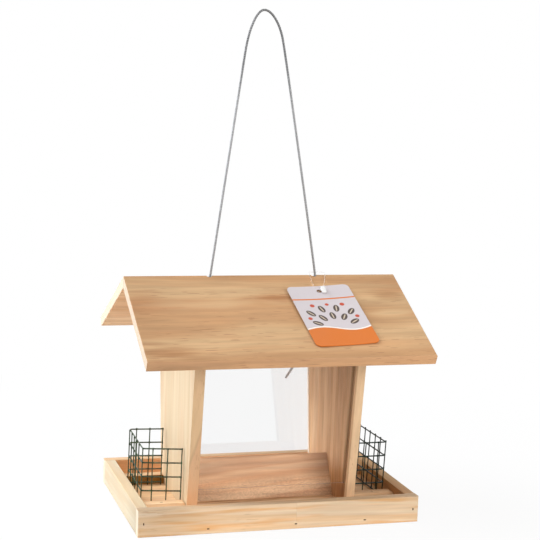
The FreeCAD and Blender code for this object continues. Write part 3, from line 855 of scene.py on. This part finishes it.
clearSheet = dict(
    tint=(0.965, 0.965, 0.965, 1), lampTint=(0.94, 0.94, 0.94, 1),
    ior=dict(front_pane=1.22, back_pane=1.70),  # the front one is duller
    sawn=0.9,  # roughness of the cut edges
    edgeRange=(0.3, 0.7), rub=((0.04, 0.04, 0.012), 3.0, 3.0), rubRange=(0.4, 0.75),
    roughness=(0.0, 0.02),
)
meshCoat = dict(
    # painted light: the left basket's coat is lighter and glossier, lit from the left, and the right one's
    # darker, in shade; the coat is the same on both
    tone=dict(left_basket=(38, 57, 33), right_basket=(14, 31, 22)),
    paler=dict(left_basket=(82, 110, 72), right_basket=(36, 62, 44)),
    rub=(0.006, 5.0, 2.0), rubRange=(0.5, 0.8),
    peel=(0.0008, 6.0, 1.0),  # the coat's orange peel
    relief=0.00006, bump=0.4, roughness=(0.20, 0.34),
    specular=dict(left_basket=0.5, right_basket=0.2),
)
wireSteel = dict(
    # groove: painted shade in the hollows between the strands
    tone=(173, 173, 173), groove=(107, 107, 109), grooveRange=(0.25, 0.95),
    spangle=((0.0016, 0.0016, 0.003), 8.0, 2.0), dim=0.12,
    loopTopShade=(0.36, 0.41, 0.42),  # painted shade: duller from the first of these heights up to the second and above, by this share, where the loop's top reflects darker surroundings
    metallic=0.8, roughness=(0.34, 0.46),
)
# painted light: the tail is the same wire, given a brighter and less metallic copy against the shade under
# the roof
litTailSteel = dict(wireSteel, tone=(236, 234, 234), groove=(188, 186, 186), metallic=0.3)
dullSteel = dict(
    tone=(112, 88, 66), other=(84, 60, 42), spots=(0.0006, 4.0, 3.0), spotRange=(0.35, 0.7),
    roughness=(0.55, 0.70), metallic=0.85,
)
crimpMetal = dict(dullSteel, tone=(196, 196, 198), other=(168, 168, 170), spots=(0.002, 4.0, 3.0),
                  roughness=(0.34, 0.49))
lockPlastic = dict(crimpMetal, tone=(240, 240, 238), other=(224, 224, 222), roughness=(0.35, 0.45),
                   metallic=0.0)
nylon = dict(
    tone=(0.98, 0.98, 0.975, 1), ior=1.15, cloud=(0.003, 2.0, 2.0), roughness=(0.10, 0.22),
    clear=0.94,
)

def clearPane(tree, name, spec):
    # clear plastic with faint rub marks and matt edges; light from the lamps goes through it
    rubbed = ranged(objectNoise(tree, *spec["rub"]), *spec["rubRange"], *spec["roughness"])
    broad = calc("ABSOLUTE", axes(coordinate(tree, "Normal"))["Y"])
    matt = ranged(broad, *spec["edgeRange"], spec["sawn"], 0.0)
    shadow = newNode(tree, "LightPath").outputs["Is Shadow Ray"]
    clear = setInputs(newNode(tree, "BsdfTransparent"), {"Color": spec["lampTint"]}).outputs[0]
    both = linked("MixShader", {0: shadow, 1: tree.nodes["Principled BSDF"].outputs[0], 2: clear})
    setInputs(tree.nodes["Material Output"], {"Surface": both})
    return {
        "Base Color": spec["tint"],
        "Roughness": calc("MAXIMUM", rubbed, matt),
        "Transmission Weight": 1.0,
        "IOR": spec["ior"][name],
    }

def coatedMesh(tree, name, spec):
    # green coat, paler where it is rubbed, with the slight orange peel of a dipped coat
    worn = ranged(objectNoise(tree, *spec["rub"]), *spec["rubRange"])
    peel = objectNoise(tree, *spec["peel"])
    return {
        "Base Color": mixed(worn, spec["tone"][name], spec["paler"][name]),
        "Roughness": ranged(peel, *softRange, *spec["roughness"]),
        "Specular IOR Level": spec["specular"][name],
        "Normal": bump(peel, spec["relief"], spec["bump"]),
    }

def strandedSteel(tree, spec):
    # bright strands with painted shade in the grooves between them, from the section's own depth, and
    # painted shade over the loop's top
    groove = newNode(tree, "Attribute", attribute_name="groove").outputs["Fac"]
    colour = mixed(ranged(groove, *spec["grooveRange"]), spec["tone"], spec["groove"])
    spangle = objectNoise(tree, *spec["spangle"])
    low, high, share = spec["loopTopShade"]
    dimmed = times(ranged(spangle, *softRange, 1 - spec["dim"], 1.0),
                   ranged(axes(coordinate(tree, "Object"))["Z"], low, high, 1.0, 1 - share))
    return {
        "Base Color": scaledColour(colour, dimmed),
        "Roughness": ranged(spangle, *softRange, *spec["roughness"]),
        "Metallic": spec["metallic"],
    }

def spotted(tree, spec):
    # two tones in soft spots, rougher where the second shows
    spots = ranged(objectNoise(tree, *spec["spots"]), *spec["spotRange"])
    return {
        "Base Color": mixed(spots, spec["tone"], spec["other"]),
        "Roughness": ranged(spots, 0.0, 1.0, *spec["roughness"]),
        "Metallic": spec["metallic"],
    }

def clearNylon(tree, spec):
    # nearly clear, with cloudy spots where the line was drawn
    return {
        "Base Color": spec["tone"],
        "Roughness": ranged(objectNoise(tree, *spec["cloud"]), *softRange, *spec["roughness"]),
        "Transmission Weight": spec["clear"],
        "IOR": spec["ior"],
    }

steelMaterial = painted("wire_steel", strandedSteel, wireSteel)
bradMaterial = painted("brad_steel", spotted, dullSteel)
for name in clearSheet["ior"]:
    dress(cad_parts[name], painted("clear_" + name, clearPane, name, clearSheet))
for name, piece in zip(basketShapes, baskets):
    dress(piece, painted("green_" + name, coatedMesh, name, meshCoat))
for piece in (wireLoop, wireLegs):
    dress(piece, steelMaterial)
dress(wireTail, painted("wire_tail_steel", strandedSteel, litTailSteel))
for name in ("tray_brads", "cleat_brads", "underside_brads", "bar_brads", "ridge_brads"):
    dress(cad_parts[name], bradMaterial)
dress(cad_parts["wire_ferrules"], painted("ferrule_metal", spotted, crimpMetal))
dress(tagLoop, painted("clear_nylon", clearNylon, nylon))
dress(tagLock, painted("lock_nylon", spotted, lockPlastic))

# the tag's print: a wavy field, a rule and a fan of seeds on pale card, in millimetres from its lower left

printed = dict(
    card=(212, 204, 206), cardCloud=(202, 193, 196),
    cloud=(22.0, 1.0, 3.0),  # size, seed and detail
    back=(222, 219, 216), backCloud=(208, 204, 202),
    backClouds=(0.004, 7.0, 3.0),  # size in metres, seed and detail
    field=(214, 114, 28), fieldEdge=(244, 238, 228), fieldTop=23.0, wave=3.0, waveLength=59.5,
    edgeWidth=1.6,
    soft=0.15,  # half the blur of a printed edge
    rule=(66.0, 67.8), fanFoot=(29.75, 22.0), fanReach=(20.0, 31.0),
    fanAngles=((-60, -30, 0, 30, 60), (-38, -13, 13, 38)),
    seed=(2.8, 5.0),  # half width and half length
    seedSoft=0.06, seedTone=(74, 58, 50), stripe=(0.6, 4.0), stripeSoft=0.2,
    stripeTone=(206, 190, 168),
    berries=((7.5, 39.0, 2.0), (52.0, 39.0, 2.0), (15.5, 57.5, 2.2), (44.0, 57.5, 2.2), (29.75, 58.5, 1.8)),
    berrySoft=0.08, berryTone=(190, 70, 40), roughness=(0.30, 0.40), backRoughness=(0.55, 0.70),
)

def patchMask(spot, centre, angle, halves, soft):
    # 1 inside an ellipse with these half sizes, turned by an angle, and 0 outside it
    away = vectorCalc("SUBTRACT", spot, (*centre, 0))
    away = linked("Mapping", {"Vector": away, "Rotation": (0, 0, math.radians(angle))})
    distance = vectorCalc("LENGTH", vectorCalc("DIVIDE", away, (*halves, 1)))
    return ranged(distance, 1 - soft, 1 + soft, 1.0, 0.0)

def tagFace(tree, card, ink):
    # field below a sine, its edge and a rule above it, then seeds at even angles on two arcs
    place = newNode(tree, "UVMap", uv_map="print").outputs[0]
    spot = vectorCalc("MULTIPLY", place, (card["width"] * perMetre, card["length"] * perMetre, 0))
    across, up = axes(spot)["X"], axes(spot)["Y"]
    soft = ink["soft"]

    def below(level, top):
        return ranged(level, top - soft, top + soft, 1.0, 0.0)

    cloud = noise(spot, *ink["cloud"])
    colour = mixed(cloud, ink["card"], ink["cardCloud"])
    swing = calc("SINE", times(across, fullTurn / ink["waveLength"]))
    level = timesPlus(swing, -ink["wave"], up)
    colour = mixed(below(level, ink["fieldTop"] + ink["edgeWidth"]), colour, ink["fieldEdge"])
    low, high = ink["rule"]
    rule = times(ranged(up, low - soft, low + soft), below(up, high))
    colour = mixed(calc("MAXIMUM", below(level, ink["fieldTop"]), rule), colour, ink["field"])
    foot = np.array(ink["fanFoot"])
    for reach, angles in zip(ink["fanReach"], ink["fanAngles"]):
        for angle in angles:
            radians = math.radians(angle)
            middle = (foot + reach * np.array((math.sin(radians), math.cos(radians)))).tolist()
            for form in ("seed", "stripe"):
                mask = patchMask(spot, middle, angle, ink[form], ink[form + "Soft"])
                colour = mixed(mask, colour, ink[form + "Tone"])
    for x, y, size in ink["berries"]:
        berry = patchMask(spot, (x, y), 0, (size, size), ink["berrySoft"])
        colour = mixed(berry, colour, ink["berryTone"])
    return {"Base Color": colour, "Roughness": ranged(cloud, *softRange, *ink["roughness"])}

def tagBack(tree, ink):
    # bare card with faint clouds
    cloud = objectNoise(tree, *ink["backClouds"])
    return {
        "Base Color": mixed(cloud, ink["back"], ink["backCloud"]),
        "Roughness": ranged(cloud, *softRange, *ink["backRoughness"]),
    }

dress(tagCard, painted("tag_face", tagFace, tag, printed), painted("tag_back", tagBack, printed))
print("finishes set")

# studio: pale floor, white surround, soft lamps

studio = dict(
    white=(1, 1, 1, 1), floorHalf=4.0, floorDrop=0.0004, floorTone=(0.93, 0.93, 0.93, 1),
    floorRoughness=0.9, floorSpecular=0.1,
    shadowNear=0.22,  # metres from the middle where the floor shows its full shadow
    shadowFar=0.60,  # and where it is plain white
    shadowShare=0.08, ambient=0.30,
    lamps=dict(  # place, width, height, watts, colour
        keyLeft=((-1.85, 0.95, 1.0), 1.6, 2.0, 58, (0.95, 1.0, 1.08)),
        front=((0.6, -2.2, 1.2), 1.6, 1.2, 33, (1.0, 0.99, 0.98)),
        leftHigh=((-1.3, -0.2, 2.0), 1.2, 1.2, 18, (1.0, 1.0, 1.0)),
    ),
    aim=(0, 0, 0.13),
)

def whiteToSight(plain, white):
    # what sight, gloss and glass see is white, and what lights the object is plain
    rays = newNode(plain.id_data, "LightPath").outputs
    seen = calc("MAXIMUM", rays["Is Camera Ray"], rays["Is Glossy Ray"])
    seen = calc("MAXIMUM", seen, rays["Is Transmission Ray"])
    return linked("MixShader", {0: seen, 1: plain, 2: white})

def makeWorld(spec):
    world = bpy.data.worlds.new("surround")
    world.use_nodes = True
    scene.world = world
    tree = world.node_tree
    plain = setInputs(tree.nodes["Background"], {"Color": spec["white"], "Strength": spec["ambient"]})
    white = setInputs(newNode(tree, "Background"), {"Color": spec["white"], "Strength": 1.0})
    setInputs(tree.nodes["World Output"], {"Surface": whiteToSight(plain.outputs[0], white.outputs[0])})

def floorPaper(tree, spec):
    # seen from afar it is white, and near the object it darkens where light is kept off it
    paper = tree.nodes["Principled BSDF"].outputs[0]
    away = vectorCalc("LENGTH", coordinate(tree, "Object"))
    share = ranged(away, spec["shadowNear"], spec["shadowFar"], 1 - spec["shadowShare"], 1.0)
    glow = setInputs(newNode(tree, "Emission"), {"Color": spec["white"], "Strength": 1.0}).outputs[0]
    seen = linked("MixShader", {0: share, 1: paper, 2: glow})
    setInputs(tree.nodes["Material Output"], {"Surface": whiteToSight(paper, seen)})
    return {
        "Base Color": spec["floorTone"],
        "Roughness": spec["floorRoughness"],
        "Specular IOR Level": spec["floorSpecular"],
    }

def makeFloor(spec):
    # one square about the origin
    corners = spec["floorHalf"] * np.array(((-1, -1, 0), (1, -1, 0), (1, 1, 0), (-1, 1, 0)))
    floor = putMesh("floor", (corners - (0, 0, spec["floorDrop"]), np.arange(4)[None, :], noFans))
    dress(floor, painted("floor_paper", floorPaper, spec))

def makeLamps(spec):
    # each lamp's back points away from the aim, and its width lies level
    for name, (place, width, height, watts, colour) in spec["lamps"].items():
        data = bpy.data.lights.new(name, "AREA")
        data.shape = "RECTANGLE"
        data.size = width
        data.size_y = height
        data.energy = watts
        data.color = colour
        lamp = bpy.data.objects.new(name, data)
        lamp.location = place
        back = Vector(place) - Vector(spec["aim"])
        lamp.rotation_euler = back.to_track_quat("Z", "Y").to_euler()
        lamp.visible_camera = False
        scene.collection.objects.link(lamp)

makeWorld(studio)
makeFloor(studio)
makeLamps(studio)
print("studio lit")
